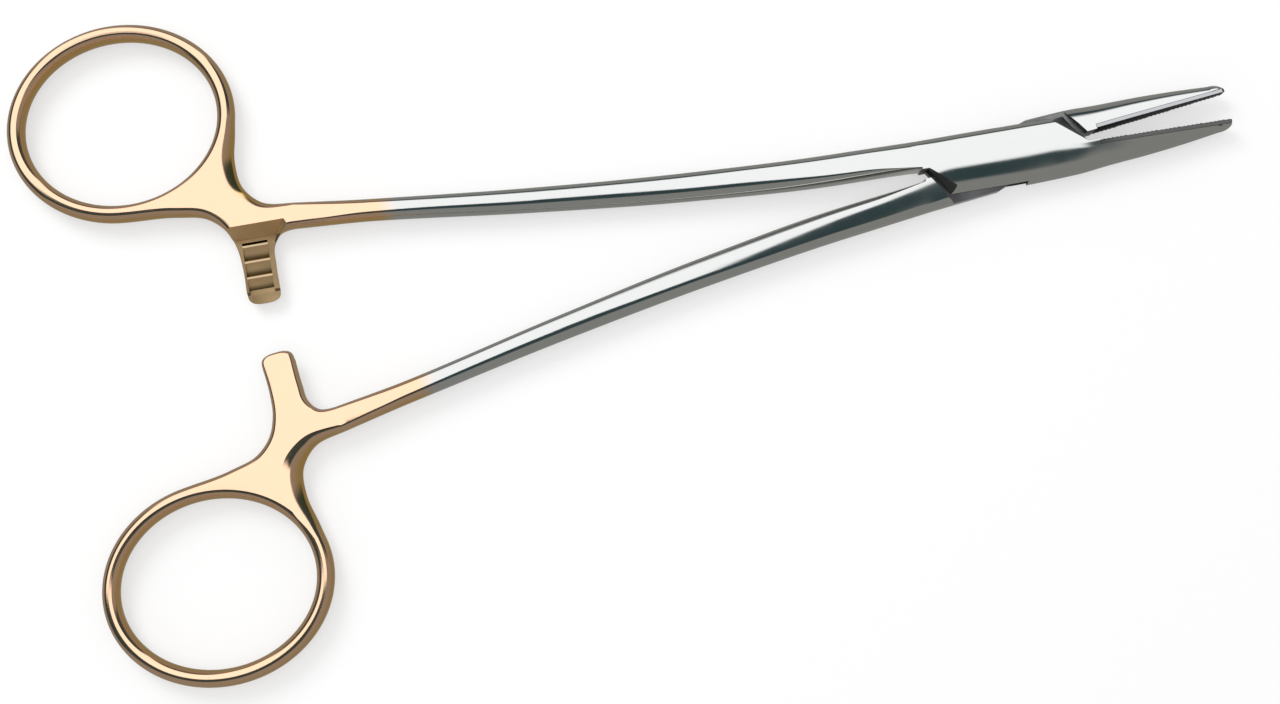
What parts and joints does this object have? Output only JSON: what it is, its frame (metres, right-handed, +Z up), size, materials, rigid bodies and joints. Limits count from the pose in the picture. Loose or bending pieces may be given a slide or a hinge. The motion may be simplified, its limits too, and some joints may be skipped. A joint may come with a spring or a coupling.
{
  "type": "surgical needle holder",
  "caption": "Slender needle holder with gold finger rings, a ratchet between the handles, a box lock and short tapered jaws with cross-cut hard inserts, lying slightly open.",
  "frame": {"origin": "on the pivot axis of the box lock, at the underside of the box", "axes": "+X along the tool towards the jaws, +Y towards the handle of the box arm, +Z up out of the plane of the tool"},
  "size_m": [0.1582, 0.0884, 0.0046],
  "materials": {
    "arm_steel": "mirror-polished stainless steel, the ring handles plated in gold",
    "pin_steel": "polished flush with the box",
    "carbide": "matt grey carbide with a cross-cut grip face"
  },
  "bodies": {
    "box_side": {"box_arm": "arm_steel", "pivot_pin": "pin_steel", "lower_jaw_insert": "carbide"},
    "tongue_side": {"tongue_arm": "arm_steel", "upper_jaw_insert": "carbide"}
  },
  "joints": [
    {"name": "box_lock_pivot", "type": "hinge", "parent": "box_side", "child": "tongue_side", "pos_m": [0, 0, 0.0023], "axis": [0, 0, 1], "range_deg": [-6.5, 38.4]}
  ]
}
